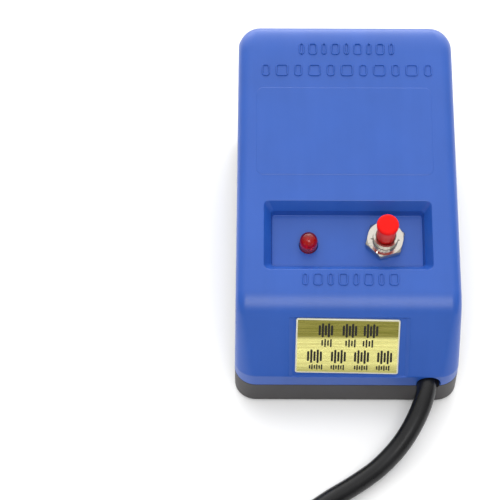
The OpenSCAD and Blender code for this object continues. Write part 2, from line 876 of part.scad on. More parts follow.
module plug_body() {
    color("#202022") translate([plug_x, plug_face_y, plug_z]) rotate([-90, 0, 0]) difference() {
        union() {
            hull() {
                linear_extrude(plug_nose_l) round_rect(plug_w, plug_t, 5, $fn = 32);
                translate([0, 0, plug_back_y - plug_face_y - 1])
                    linear_extrude(1) round_rect(14, 10.5, 4, $fn = 32);
            }
            translate([0, 0, plug_back_y - plug_face_y - 0.1])
                cylinder(r1 = relief_r, r2 = relief_tip_r, h = plug_tail_y - plug_back_y);
        }
        for (s = [-1, 1]) translate([s * pin_gap / 2, 0, 0]) rod(pin_root_r + 0.02, -1, pin_root_l + 0.1);
    }
}

module plug_pins() {
    color("silver") for (s = [-1, 1])
        translate([plug_x + s * pin_gap / 2, plug_face_y, plug_z]) rotate([90, 0, 0]) {
            rod(pin_root_r, -pin_root_l, 0.1);
            rod(pin_r, 0, pin_l - pin_r);
            translate([0, 0, pin_l - pin_r]) sphere(r = pin_r);
        }
}

upper_cover();
base_plate();
case_screws();
rubber_feet();
name_plate();
lamp_lens();
lamp_leads();
lamp_resistor();
lamp_diode();
component_leads();
button_cap();
button_plunger();
moving_contact();
button_spring();
switch_bushing();
switch_nut();
switch_lock_washer();
switch_housing();
switch_terminals();
core_laminations();
coil_bobbin();
coil_winding();
winding_tape();
coil_pins();
core_pads();
cord_clamp();
clamp_screws();
live_wire();
neutral_wire();
switch_wire();
lamp_wire_live();
lamp_wire_neutral();
mains_cord();
cord_coil();
cord_tail();
cord_tie();
plug_body();
plug_pins();
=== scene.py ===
import json
import math

import bmesh
import bpy
from mathutils import Matrix, Vector


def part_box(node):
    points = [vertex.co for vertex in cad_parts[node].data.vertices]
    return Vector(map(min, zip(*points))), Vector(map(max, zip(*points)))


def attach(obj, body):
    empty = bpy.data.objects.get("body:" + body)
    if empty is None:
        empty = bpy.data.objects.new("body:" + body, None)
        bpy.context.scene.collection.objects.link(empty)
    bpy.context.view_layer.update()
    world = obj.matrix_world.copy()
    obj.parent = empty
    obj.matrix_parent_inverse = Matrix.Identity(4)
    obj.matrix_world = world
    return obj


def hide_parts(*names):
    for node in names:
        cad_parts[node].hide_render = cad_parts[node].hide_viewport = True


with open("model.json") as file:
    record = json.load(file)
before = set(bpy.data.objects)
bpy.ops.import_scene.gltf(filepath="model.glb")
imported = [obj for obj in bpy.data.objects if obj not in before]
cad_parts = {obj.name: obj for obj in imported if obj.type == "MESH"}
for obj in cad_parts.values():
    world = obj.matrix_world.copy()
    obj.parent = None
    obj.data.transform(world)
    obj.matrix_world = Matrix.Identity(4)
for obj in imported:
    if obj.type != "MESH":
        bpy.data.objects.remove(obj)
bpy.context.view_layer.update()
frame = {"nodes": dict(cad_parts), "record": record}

# A benchtop watch demagnetizer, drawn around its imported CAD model. Sizes below are in
# millimetres and degrees, and become metres when a piece is made.
MM = 0.001
NODES = frame["nodes"]


def size_of(node):
    """The lowest and highest corners of a CAD node, in millimetres."""
    low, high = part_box(node)
    return low / MM, high / MM


# ---- Sizes of the case ----

base_low, base_high = size_of("base_plate")
CASE_W = base_high.x - base_low.x
FRONT_Y = base_low.y
REAR_Y = base_high.y
SEAM_Z = 9.0
SKIRT_Z = 13.8
CREST_Z = 32.2
FACE_ANGLE = math.radians(55.4)
TOP_ANGLE = math.radians(13.4)
DRAFT = math.radians(0.8)
WALL = 2.2
CORNER_R = 6.0
EDGE_R = 3.0
CREST_R = 10.0
CREST_Y = FRONT_Y + (CREST_Z - SKIRT_Z) / math.tan(FACE_ANGLE)
REAR_TOP_Z = CREST_Z + (REAR_Y - CREST_Y) * math.tan(TOP_ANGLE)

# Inward normals of the front, the sloping face, the top and the rear, in the Y-Z plane
FRONT_IN = Vector((1, 0))
FACE_IN = Vector((math.sin(FACE_ANGLE), -math.cos(FACE_ANGLE)))
TOP_IN = Vector((math.sin(TOP_ANGLE), -math.cos(TOP_ANGLE)))
REAR_IN = Vector((-1, 0))

RECESS_W = 46.8
RECESS_L = 20.4
RECESS_DEPTH = 5.5
RECESS_U = 19.9
RECESS_MOUTH_R = 1.5
RECESS_FLOOR_R = 0.9
KNEE_DEPTH = 3.0
KNEE_LEAN = 1.95
FLOOR_LEAN = 2.3
UNDER_H = -RECESS_DEPTH - 2

LAMP_X, LAMP_U = -10.9, 18.9
LAMP_R = 2.5
LAMP_DOME_H = -2.4
BUTTON_X, BUTTON_U = 10.5, 20.0
BUSHING_R = 3.5

POCKET_X, POCKET_W = 0.3, 33.4
POCKET_LOW_V, POCKET_TOP_V = -0.4, 17.9
POCKET_DEPTH = 0.6
PLATE_X, PLATE_V = -0.2, 9.15
PLATE_W, PLATE_H, PLATE_T = 28.6, 16.4, 0.5
PLATE_SKEW = math.radians(-0.9)

# ---- Sizes of the lead ----

CORD_R = 2.75
CORD_D = 2 * CORD_R
NOTCH_X, NOTCH_R, NOTCH_Z = 22.8, 3.2, 10.0
COIL_AT = Vector((0, -129, 0))
COIL_INNER = 31 - CORD_R
COIL_OUTER = 31 + CORD_R
COIL_ROWS = 3
COIL_START, COIL_END = 173.7, 80.9
PLUG_X, PLUG_FACE_Y = -22.0, -170.0
PLUG_Z = COIL_ROWS * CORD_D + 0.1 + 13.7 / 2
TIE_T = 0.7
TIE_W = 4.0

# The lead from its clamp, out of the case, down to the bench and on to its coil
LEAD_ROUTE = [
    (22.5, -33, 10), (22.5, -40, 10), (22.5, -46, 10), (22.1, -50.5, 9.9), (21.1, -54.2, 9.4),
    (19.8, -57.4, 8.6), (17.7, -61.3, 7.3), (15, -65.2, 5.8), (11.7, -68.9, 4.5), (7.2, -73, 3.5),
    (1.1, -77.3, 2.9), (-5.5, -81.6, 2.75), (-12, -86.7, 2.75), (-18, -92.8, 2.75),
    (-24, -99.5, 2.75), (-29.2, -107.5, 2.75), (-32.4, -116.2, 2.75)]
# The end of the lead, off the top of the coil and into the plug
TAIL_ROUTE = [
    (-2.13, -101.03, 19.6), (-8.44, -102.8, 20.4), (-13.98, -106.3, 21.4), (-18.31, -111.23, 22.4),
    (-21.05, -117.19, 23.1), (-22, -124, 23.45), (-22, -132, 23.45)]


def half_width(z):
    """Half the width of the cover at a height: its sides lean in a little."""
    return CASE_W / 2 - (z - SEAM_Z) * math.tan(DRAFT)


def on_top(x, u, h):
    """A point from its place across, along and above the sloping top."""
    return Vector((
        x,
        CREST_Y + u * math.cos(TOP_ANGLE) - h * math.sin(TOP_ANGLE),
        CREST_Z + u * math.sin(TOP_ANGLE) + h * math.cos(TOP_ANGLE),
    ))


def on_face(x, v, n):
    """A point from its place across, up and out of the sloping front."""
    return Vector((
        x,
        FRONT_Y + v * math.cos(FACE_ANGLE) - n * math.sin(FACE_ANGLE),
        SKIRT_Z + v * math.sin(FACE_ANGLE) + n * math.cos(FACE_ANGLE),
    ))


# ---- Mesh helpers ----

SHARP = math.radians(38)


def new_piece(name, points, faces, body="case", sharp=SHARP):
    """A smooth mesh piece with hard edges where it turns more than sharp."""
    mesh = bpy.data.meshes.new(name)
    mesh.from_pydata([tuple(Vector(p) * MM) for p in points], [], faces)
    piece = bpy.data.objects.new(name, mesh)
    bpy.context.scene.collection.objects.link(piece)
    finish_mesh(piece, sharp)
    if body:
        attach(piece, body)
    return piece


def finish_mesh(piece, sharp=SHARP):
    """Turns normals out, shades smooth and marks the hard edges."""
    bm = bmesh.new()
    bm.from_mesh(piece.data)
    bmesh.ops.remove_doubles(bm, verts=bm.verts, dist=1e-7)
    bmesh.ops.recalc_face_normals(bm, faces=bm.faces)
    for face in bm.faces:
        face.smooth = True
    for edge in bm.edges:
        edge.smooth = len(edge.link_faces) != 2 or edge.calc_face_angle(0) < sharp
    bm.to_mesh(piece.data)
    bm.free()


def weigh_normals(piece):
    """Keeps flat faces flat in the shading, next to their rounded edges."""
    weighted = piece.modifiers.new("weighted", "WEIGHTED_NORMAL")
    weighted.keep_sharp = True
    weighted.weight = 80


def lofted(rows, closed_ends=True):
    """Points and faces of a skin over closed loops of equally many points."""
    count = len(rows[0])
    points = [p for row in rows for p in row]
    faces = []
    for i in range(len(rows) - 1):
        for k in range(count):
            m = (k + 1) % count
            faces.append((i * count + k, i * count + m, (i + 1) * count + m, (i + 1) * count + k))
    if closed_ends:
        faces.append(tuple(range(count)))
        faces.append(tuple((len(rows) - 1) * count + k for k in range(count)))
    return points, faces


def spun(profile, place, sides=64):
    """Points and faces of a turned shape. The profile's (radius, height) ends on the axis."""
    inner = profile[1:-1]
    angles = [2 * math.pi * k / sides for k in range(sides)]
    points = [place(r * math.cos(a), r * math.sin(a), h) for r, h in inner for a in angles]
    faces = []
    for i in range(len(inner) - 1):
        for k in range(sides):
            m = (k + 1) % sides
            faces.append((i * sides + k, i * sides + m, (i + 1) * sides + m, (i + 1) * sides + k))
    first = len(points)
    last_row = (len(inner) - 1) * sides
    points.append(place(0, 0, profile[0][1]))
    points.append(place(0, 0, profile[-1][1]))
    for k in range(sides):
        m = (k + 1) % sides
        faces.append((first, m, k))
        faces.append((first + 1, last_row + k, last_row + m))
    return points, faces


def rounded_rect(w, l, r, steps=8):
    """A loop of points round a rectangle with round corners."""
    loop = []
    for cx, cy, start in ((1, 1, 0), (-1, 1, 90), (-1, -1, 180), (1, -1, 270)):
        for k in range(steps + 1):
            a = math.radians(start + 90 * k / steps)
            loop.append((cx * (w / 2 - r) + r * math.cos(a), cy * (l / 2 - r) + r * math.sin(a)))
    return loop


def circle_loop(r, sides=64):
    """A loop of points round a circle."""
    angles = [2 * math.pi * k / sides for k in range(sides)]
    return [(r * math.cos(a), r * math.sin(a)) for a in angles]


def join(*shapes):
    """One list of points and one of faces from several shapes."""
    points = []
    faces = []
    for shape_points, shape_faces in shapes:
        start = len(points)
        points += shape_points
        faces += [tuple(start + k for k in face) for face in shape_faces]
    return points, faces


def cut(piece, tools, how="DIFFERENCE"):
    """Applies exact booleans to a piece, and deletes the tools."""
    for tool in tools:
        modifier = piece.modifiers.new("cut", "BOOLEAN")
        modifier.object = tool
        modifier.operation = how
        modifier.solver = "EXACT"
    bpy.context.view_layer.update()
    graph = bpy.context.evaluated_depsgraph_get()
    mesh = bpy.data.meshes.new_from_object(piece.evaluated_get(graph))
    piece.modifiers.clear()
    piece.data = mesh
    for tool in tools:
        bpy.data.objects.remove(tool)
    finish_mesh(piece)


def fillet(corner, before, after, r, steps):
    """Offsets from a corner of the points of an arc that rounds it, between two directions."""
    before = Vector(before).normalized()
    after = Vector(after).normalized()
    turn = before.angle(after)
    reach = r * math.tan(turn / 2)
    bisector = (after - before).normalized()
    centre = bisector * (r / math.cos(turn / 2))
    start = -before * reach - centre
    out = []
    side = 1 if before.x * after.y - before.y * after.x > 0 else -1
    for k in range(steps + 1):
        a = side * turn * k / steps
        spin = Matrix(((math.cos(a), -math.sin(a)), (math.sin(a), math.cos(a))))
        out.append(Vector(corner) + centre + spin @ start)
    return out


# ---- Camera and cord ----

def make_camera():
    """A camera in front of the object and above it, looking down at it."""
    pitch = math.radians(55.904)
    azimuth = math.radians(-0.642)
    roll = math.radians(-0.301)
    distance = 501.0
    target = Vector((-27.268, -14.219, 25.0))
    ahead = Vector((
        math.sin(azimuth) * math.cos(pitch),
        math.cos(azimuth) * math.cos(pitch),
        -math.sin(pitch),
    ))
    right = Vector((math.cos(azimuth), -math.sin(azimuth), 0))
    up = right.cross(ahead)
    data = bpy.data.cameras.new("camera")
    data.sensor_width = 36
    data.lens = 127.24
    data.clip_start = 0.05
    data.clip_end = 20
    camera = bpy.data.objects.new("camera", data)
    bpy.context.scene.collection.objects.link(camera)
    axis_x = math.cos(roll) * right + math.sin(roll) * up
    axis_y = -math.sin(roll) * right + math.cos(roll) * up
    turn = Matrix((axis_x, axis_y, -ahead)).transposed()
    camera.matrix_world = Matrix.Translation((target - distance * ahead) * MM) @ turn.to_4x4()
    bpy.context.scene.camera = camera


def ease(t):
    """Turns an even step from 0 to 1 into one that starts and ends gently."""
    return t * t * (3 - 2 * t)


def coil_points():
    """Points of the coil's turns, wound in two lanes and three layers."""
    inner, outer = COIL_INNER, COIL_OUTER
    lanes = [(outer, 0), (inner, 0), (inner, 1), (outer, 1), (outer, 2), (inner, 2)]
    turns = 5
    total = 360 * turns + COIL_END - COIL_START
    lane_turn = total / len(lanes)
    count = turns * 20
    points = []
    for i in range(count + 1):
        angle = total * i / count
        lane = min(int(angle / lane_turn), len(lanes) - 1)
        here = lanes[lane]
        after = lanes[min(lane + 1, len(lanes) - 1)]
        ramp = 130 if here[0] != after[0] else 87
        t = share(angle, (lane + 1) * lane_turn - ramp, (lane + 1) * lane_turn)
        radius = here[0] + (after[0] - here[0]) * t
        layer = here[1] + (after[1] - here[1]) * t + share(angle, total - 87, total)
        a = math.radians(COIL_START + angle)
        points.append(COIL_AT + Vector((
            radius * math.cos(a), radius * math.sin(a), CORD_R + layer * CORD_D + tie_lift(a))))
    return points


def share(value, low, high):
    """0 below a range, 1 above it, and a smooth rise in between."""
    return ease(min(1, max(0, (value - low) / (high - low))))


def tie_lift(a):
    """How far the turns ride up where the tie goes under them, on the +X side."""
    return (TIE_T + 0.1) * math.exp(-(math.remainder(a, 2 * math.pi) / 0.35) ** 2)


def make_curve(name, points, radius, sides=8):
    """A round cord along a smooth open curve through points."""
    data = bpy.data.curves.new(name, "CURVE")
    data.dimensions = "3D"
    data.bevel_depth = radius
    data.bevel_resolution = sides
    data.resolution_u = 8
    data.use_fill_caps = True
    spline = data.splines.new("BEZIER")
    spline.bezier_points.add(len(points) - 1)
    places = [Vector(p) * MM for p in points]
    for i, knot in enumerate(spline.bezier_points):
        slope = (places[min(i + 1, len(places) - 1)] - places[max(i - 1, 0)]) / 6
        knot.radius = MM
        knot.handle_left_type = "FREE"
        knot.handle_right_type = "FREE"
        knot.co = places[i]
        knot.handle_left = places[i] - slope
        knot.handle_right = places[i] + slope
    curve = bpy.data.objects.new(name, data)
    bpy.context.scene.collection.objects.link(curve)
    return curve


def path_length(points):
    """Length of the smooth curve through points, in metres."""
    total = 0
    last = None
    for i in range(len(points) - 1):
        a, b, c, d = (Vector(points[min(max(k, 0), len(points) - 1)]) for k in (i - 1, i, i + 1, i + 2))
        for k in range(20):
            t = k / 20
            p = 0.5 * (2 * b + (c - a) * t + (2 * a - 5 * b + 4 * c - d) * t * t
                       + (3 * b - a - 3 * c + d) * t ** 3)
            if last is not None:
                total += (p - last).length
            last = p
    return total * MM


def make_cord():
    """The mains lead, from its clamp to its plug."""
    points = [Vector(p) for p in LEAD_ROUTE] + coil_points() + [Vector(p) for p in TAIL_ROUTE]
    cord = make_curve("mains_lead", points, CORD_R)
    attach(cord, "case")
    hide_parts("mains_cord", "cord_coil", "cord_tail")
    cord.data.materials.append(cord_material())
    return cord, path_length(points)


# ---- Materials ----

def new_material(name, colour, roughness, metallic=0.0, **sockets):
    """A material with one Principled shader. sockets names more of its inputs."""
    material = bpy.data.materials.new(name)
    material.use_nodes = True
    shader = material.node_tree.nodes["Principled BSDF"]
    shader.inputs["Base Color"].default_value = (*colour, 1)
    shader.inputs["Roughness"].default_value = roughness
    shader.inputs["Metallic"].default_value = metallic
    for key, value in sockets.items():
        shader.inputs[key.replace("_", " ")].default_value = value
    return material


def node(material, kind, **values):
    """A new shader node, with attributes or input values set by name."""
    made = material.node_tree.nodes.new(kind)
    for key, value in values.items():
        if hasattr(made, key):
            setattr(made, key, value)
        else:
            made.inputs[key.replace("_", " ")].default_value = value
    return made


def link(material, source, target):
    """Joins a node's output to an input."""
    material.node_tree.links.new(source, target)


def shader_of(material):
    """The material's main shader node."""
    return material.node_tree.nodes["Principled BSDF"]


def place_texture(material, stretch=(1, 1, 1), turn=(0, 0, 0)):
    """The surface's own coordinates, in metres, stretched and turned."""
    coords = node(material, "ShaderNodeTexCoord")
    mapping = node(material, "ShaderNodeMapping")
    mapping.inputs["Scale"].default_value = stretch
    mapping.inputs["Rotation"].default_value = turn
    link(material, coords.outputs["Object"], mapping.inputs["Vector"])
    return mapping.outputs["Vector"]


def noise(material, size_mm, stretch=(1, 1, 1), turn=(0, 0, 0), detail=3, rough=0.5):
    """Noise whose grains are about size_mm across."""
    scale = 1 / (size_mm * MM)
    texture = node(material, "ShaderNodeTexNoise", Scale=scale, Detail=detail, Roughness=rough)
    link(material, place_texture(material, stretch, turn), texture.inputs["Vector"])
    return texture.outputs["Fac"]


def rescale(material, value, low, high, new_low, new_high):
    """Maps a value from one range to another, held at the ends."""
    mapped = node(material, "ShaderNodeMapRange")
    mapped.inputs["From Min"].default_value = low
    mapped.inputs["From Max"].default_value = high
    mapped.inputs["To Min"].default_value = new_low
    mapped.inputs["To Max"].default_value = new_high
    link(material, value, mapped.inputs["Value"])
    return mapped.outputs["Result"]


def blend_colours(material, factor, first, second):
    """A colour between two, by a factor. Either may be a colour or another node's output."""
    mix = node(material, "ShaderNodeMix", data_type="RGBA")
    for socket, value in ((mix.inputs[6], first), (mix.inputs[7], second)):
        if isinstance(value, tuple):
            socket.default_value = (*value, 1)
        else:
            link(material, value, socket)
    link(material, factor, mix.inputs[0])
    return mix.outputs[2]


def add_bump(material, height, depth_mm, below=None):
    """Bumps of a depth from a height texture, on top of any bumps below."""
    bump = node(material, "ShaderNodeBump", Strength=1.0, Distance=depth_mm * MM)
    link(material, height, bump.inputs["Height"])
    if below:
        link(material, below, bump.inputs["Normal"])
    return bump.outputs["Normal"]


def shade(colour, k):
    """A colour made lighter or darker by a factor."""
    return tuple(min(1, c * k) for c in colour)


def detailed(
    name, colour, roughness, metallic=0.0, grain=0.3, depth=0.006, tint=0.08, wear=0.06,
    patch=9.0, stretch=(1, 1, 1), **sockets
):
    """A material whose colour and roughness drift in patches, over a fine grained surface."""
    material = new_material(name, colour, roughness, metallic, **sockets)
    shader = shader_of(material)
    patches = noise(material, patch, detail=4)
    fine = noise(material, grain, stretch, detail=2)
    drift = rescale(material, patches, 0.3, 0.7, 0, 1)
    colours = blend_colours(material, drift, shade(colour, 1 - tint), shade(colour, 1 + tint))
    link(material, colours, shader.inputs["Base Color"])
    worn = rescale(material, patches, 0.3, 0.7, roughness - wear, roughness + wear)
    link(material, worn, shader.inputs["Roughness"])
    link(material, add_bump(material, fine, depth), shader.inputs["Normal"])
    return material


def cord_material():
    """Satin black PVC: faint drawing lines, and a little dust."""
    return detailed(
        "cord_pvc", (0.007, 0.007, 0.0078), 0.3, grain=0.5, depth=0.008, tint=0.3, wear=0.07,
        Specular_IOR_Level=0.3)


def blue_plastic():
    """Moulded ABS with a fine spark-eroded grain and faint handling marks."""
    base = (0.0145, 0.085, 0.405)
    material = new_material("blue_plastic", base, 0.34, IOR=1.5)
    shader = shader_of(material)
    patches = noise(material, 14, detail=5, rough=0.55)
    flow = noise(material, 5, stretch=(1, 0.15, 0.15), detail=3)
    drift = rescale(material, patches, 0.3, 0.7, 0, 1)
    tone = blend_colours(material, drift, shade(base, 0.95), shade(base, 1.05))
    streaks = rescale(material, flow, 0.35, 0.65, 0, 0.35)
    tone = blend_colours(material, streaks, tone, (0.024, 0.1, 0.45))
    specks = rescale(material, noise(material, 0.9, detail=6, rough=0.75), 0.69, 0.73, 0, 0.5)
    tone = blend_colours(material, specks, tone, (0.12, 0.2, 0.56))
    link(material, tone, shader.inputs["Base Color"])
    scuffs = noise(material, 1.6, stretch=(1, 9, 9), turn=(0, 0, 0.5), detail=6, rough=0.7)
    worn = rescale(material, scuffs, 0.4, 0.75, 0.31, 0.43)
    link(material, worn, shader.inputs["Roughness"])
    grain = add_bump(material, noise(material, 0.16, detail=2), 0.004)
    waves = add_bump(material, noise(material, 11, detail=1), 0.03, grain)
    link(material, waves, shader.inputs["Normal"])
    return material


def grey_plastic():
    """Matt dark grey moulding."""
    return detailed("grey_plastic", (0.036, 0.033, 0.034), 0.5, grain=0.22, depth=0.01, tint=0.12)


def red_plastic():
    """Glossy red moulding with very little sheen."""
    return detailed(
        "red_plastic", (0.82, 0.01, 0.008), 0.42, grain=0.6, depth=0.002, tint=0.05,
        Specular_IOR_Level=0.08)


def nickel():
    """Bright nickel plate over turned brass, with fine turning marks."""
    return detailed(
        "nickel", (0.55, 0.515, 0.465), 0.12, metallic=1.0, grain=0.12, depth=0.0015, tint=0.05,
        wear=0.07, patch=2.5, stretch=(1, 1, 4))


def lens_red():
    """Tinted red epoxy, partly clear, with painted light and shade: its colour is painted bright at its
    front and darker towards the rear.
    """
    material = new_material(
        "lens_red", (0.5, 0.002, 0.002), 0.05, Transmission_Weight=0.6, IOR=1.5,
        Specular_IOR_Level=0.3)
    shader = shader_of(material)
    coords = node(material, "ShaderNodeTexCoord")
    parts = node(material, "ShaderNodeSeparateXYZ")
    link(material, coords.outputs["Object"], parts.inputs["Vector"])
    middle = on_top(LAMP_X, LAMP_U, LAMP_DOME_H).y * MM
    depth = rescale(material, parts.outputs["Y"], middle - 1.5 * MM, middle + 1.1 * MM, 0, 1)
    flow = rescale(material, noise(material, 1.8), 0.3, 0.7, 0.8, 1)
    shadow = node(material, "ShaderNodeMath", operation="MULTIPLY")
    link(material, depth, shadow.inputs[0])
    link(material, flow, shadow.inputs[1])
    # Painted light and shade: the base colour runs from bright red at the front to dark red towards the
    # rear, by place along Y.
    tint = blend_colours(material, shadow.outputs[0], (0.85, 0.004, 0.003), (0.16, 0.001, 0.001))
    link(material, tint, shader.inputs["Base Color"])
    worn = rescale(material, noise(material, 0.8), 0.3, 0.7, 0.03, 0.09)
    link(material, worn, shader.inputs["Roughness"])
    link(material, add_bump(material, noise(material, 1.2), 0.002), shader.inputs["Normal"])
    return material


def brushed_gold():
    """Gold-anodised sheet, brushed along its length, with a painted reflection: dark above and a little
    dark below.
    """
    light = (1.0, 0.95, 0.36)
    dark = (0.16, 0.155, 0.012)
    material = new_material("gold_plate", light, 0.36, metallic=0.7)
    shader = shader_of(material)
    coords = node(material, "ShaderNodeTexCoord")
    parts = node(material, "ShaderNodeSeparateXYZ")
    link(material, coords.outputs["Object"], parts.inputs["Vector"])
    grain = noise(material, 0.35, stretch=(0.02, 1, 1), detail=4, rough=0.7)
    height = parts.outputs["Z"]
    middle = on_face(0, PLATE_V, 0).z * MM
    edge = middle + 2.0 * MM
    # Painted reflection: a dark band painted along the plate's top and a fainter dark band along its
    # bottom.
    upper = rescale(material, height, edge - 0.4 * MM, edge + 0.5 * MM, 0, 1)
    lower = rescale(material, height, middle - 4.2 * MM, middle - 6.6 * MM, 0, 0.55)
    painted_reflection_bands = node(material, "ShaderNodeMath", operation="MAXIMUM")
    link(material, upper, painted_reflection_bands.inputs[0])
    link(material, lower, painted_reflection_bands.inputs[1])
    tone = blend_colours(material, painted_reflection_bands.outputs[0], light, dark)
    streaks = rescale(material, grain, 0.3, 0.7, 0, 0.45)
    streaked = blend_colours(material, streaks, tone, (0.7, 0.62, 0.18))
    link(material, streaked, shader.inputs["Base Color"])
    link(material, rescale(material, grain, 0.3, 0.7, 0.2, 0.34), shader.inputs["Roughness"])
    link(material, add_bump(material, grain, 0.004), shader.inputs["Normal"])
    return material


def wound_copper():
    """Enamelled wire in close turns across the coil's height, with painted shade between the turns and a
    painted highlight on their crowns.
    """
    base = (0.55, 0.2, 0.06)
    material = new_material("enamelled_copper", base, 0.3, metallic=0.85)
    shader = shader_of(material)
    wave = node(material, "ShaderNodeTexWave", Scale=1 / (0.32 * MM) / 6.28, Distortion=0.6)
    wave.bands_direction = "Z"
    link(material, place_texture(material, turn=(-TOP_ANGLE, 0, 0)), wave.inputs["Vector"])
    # Painted shade and highlight: the colour is darker between the turns and lighter on their crowns.
    tone = blend_colours(material, wave.outputs["Fac"], shade(base, 0.45), shade(base, 1.25))
    link(material, tone, shader.inputs["Base Color"])
    worn = rescale(material, noise(material, 2), 0.3, 0.7, 0.24, 0.38)
    link(material, worn, shader.inputs["Roughness"])
    link(material, add_bump(material, wave.outputs["Fac"], 0.15), shader.inputs["Normal"])
    return material


PLAIN_FINISHES = {
    "zinc_steel": dict(colour=(0.56, 0.57, 0.55), roughness=0.3, metallic=1.0, grain=0.15, depth=0.003),
    "black_rubber": dict(colour=(0.016, 0.016, 0.017), roughness=0.75, grain=0.3, depth=0.02, tint=0.3),
    "tinned_wire": dict(colour=(0.72, 0.72, 0.7), roughness=0.25, metallic=1.0, grain=0.4, depth=0.004),
    "resistor_body": dict(colour=(0.58, 0.45, 0.28), roughness=0.35, grain=0.5, depth=0.006),
    "black_plastic": dict(colour=(0.02, 0.02, 0.022), roughness=0.42, grain=0.3, depth=0.008, tint=0.3),
    "white_plastic": dict(colour=(0.78, 0.75, 0.68), roughness=0.45, grain=0.4, depth=0.006),
    "contact_brass": dict(colour=(0.75, 0.56, 0.25), roughness=0.3, metallic=1.0, grain=0.2, depth=0.004),
    "spring_steel": dict(colour=(0.5, 0.5, 0.5), roughness=0.28, metallic=1.0, grain=0.2, depth=0.003),
    "silicon_steel": dict(colour=(0.2, 0.205, 0.22), roughness=0.45, metallic=0.9, grain=0.5, depth=0.01),
    "yellow_tape": dict(colour=(0.8, 0.56, 0.05), roughness=0.25, grain=0.8, depth=0.01),
    "brown_wire": dict(colour=(0.17, 0.06, 0.025), roughness=0.35, grain=0.4, depth=0.006),
    "blue_wire": dict(colour=(0.03, 0.17, 0.58), roughness=0.35, grain=0.4, depth=0.006),
    "red_wire": dict(colour=(0.58, 0.02, 0.02), roughness=0.35, grain=0.4, depth=0.006),
    "black_wire": dict(colour=(0.018, 0.018, 0.02), roughness=0.35, grain=0.4, depth=0.006, tint=0.3),
    "tie_plastic": dict(colour=(0.78, 0.78, 0.75), roughness=0.38, grain=0.5, depth=0.006),
}


def paint_nodes():
    """Every CAD node gets the finish that the record names for it."""
    own = {
        "blue_plastic": blue_plastic(), "grey_plastic": grey_plastic(), "red_plastic": red_plastic(),
        "nickel": nickel(), "red_lens": lens_red(), "gold_plate": brushed_gold(),
        "enamelled_copper": wound_copper(), "cord_pvc": bpy.data.materials["cord_pvc"]}
    for slot_name, finish in PLAIN_FINISHES.items():
        own[slot_name] = detailed(slot_name, **finish)
    for part in frame["record"]["subparts"]:
        mesh = NODES[part["node"]].data
        mesh.materials.clear()
        mesh.materials.append(own[part["material_slot"]])
    return own


def soften_node(name, width_mm):
    """Breaks a CAD node's hard edges a little, as moulded and machined parts have them."""
    piece = NODES[name]
    weld = piece.modifiers.new("weld", "WELD")
    weld.merge_threshold = 1e-6
    bevel = piece.modifiers.new("bevel", "BEVEL")
    bevel.width = width_mm * MM
    bevel.segments = 2
    bevel.limit_method = "ANGLE"
    bevel.angle_limit = math.radians(40)
    bevel.use_clamp_overlap = True
    weigh_normals(piece)


# ---- Cover ----

def turned(start_in, end_in, k):
    """A direction part of the way from one inward normal to another."""
    a = math.atan2(start_in.y, start_in.x)
    b = math.atan2(end_in.y, end_in.x)
    a += k * math.remainder(b - a, 2 * math.pi)
    return Vector((math.cos(a), math.sin(a)))


def meet(n1, n2):
    """How far an outline's corner moves when both its sides move in by 1."""
    return (n1 + n2) / (1 + n1.dot(n2))


# The rear bend takes this much of the top and of the rear wall, and its corner pulls it out
REAR_BEND_TOP, REAR_BEND_DOWN = 11, 9
REAR_BEND_PULL = 1.25


def rear_bend(corner, t):
    """A point and inward direction of the bend into the rear wall, which starts gently."""
    first = corner - REAR_BEND_TOP * Vector((math.cos(TOP_ANGLE), math.sin(TOP_ANGLE)))
    last = corner - Vector((0, REAR_BEND_DOWN))
    pull = REAR_BEND_PULL
    a, b, c = (1 - t) ** 2, 2 * pull * t * (1 - t), t * t
    whole = a + b + c
    point = (a * first + b * corner + c * last) / whole
    slope = (-2 * (1 - t) * first + 2 * pull * (1 - 2 * t) * corner + 2 * t * last)
    slope -= point * (-2 * (1 - t) + 2 * pull * (1 - 2 * t) + 2 * t)
    slope.normalize()
    return point, Vector((slope.y, -slope.x))


def side_outline(low_z):
    """(point, inward direction, edge radius, chamfer) along the cover's outline, front to rear."""
    chamfer = 0.25
    skirt = Vector((FRONT_Y, SKIRT_Z))
    skirt_in = meet(FRONT_IN, FACE_IN)
    crest = Vector((CREST_Y, CREST_Z))
    rear = Vector((REAR_Y, REAR_TOP_Z))
    up_face = Vector((math.cos(FACE_ANGLE), math.sin(FACE_ANGLE)))
    crest_centre = crest + CREST_R * meet(FACE_IN, TOP_IN)
    face_end = crest_centre - CREST_R * FACE_IN
    rows = [
        (Vector((FRONT_Y, low_z)), FRONT_IN, CORNER_R, chamfer),
        (Vector((FRONT_Y, low_z + chamfer)), FRONT_IN, CORNER_R, 0)]
    for point in fillet(skirt, (0, 1), up_face, 0.8, 4):
        rows.append((point, skirt_in, CORNER_R, 0))
    face_l = (face_end - skirt).length
    for k in (0.25, 0.5, 0.75):
        radius = CORNER_R + (EDGE_R - CORNER_R) * k
        rows.append((skirt + up_face * face_l * k, FACE_IN, radius, 0))
    steps = 10
    for k in range(steps + 1):
        inward = turned(FACE_IN, TOP_IN, k / steps)
        rows.append((crest_centre - CREST_R * inward, inward, EDGE_R, 0))
    steps = 18
    for k in range(steps + 1):
        point, inward = rear_bend(rear, k / steps)
        radius = EDGE_R + 0.8 + 2.4 * ease(min(1, 2 * k / steps))
        rows.append((point, inward, radius, 0))
    rows.append((Vector((REAR_Y, low_z + chamfer)), REAR_IN, CORNER_R, 0))
    rows.append((Vector((REAR_Y, low_z)), REAR_IN, CORNER_R, chamfer))
    return rows


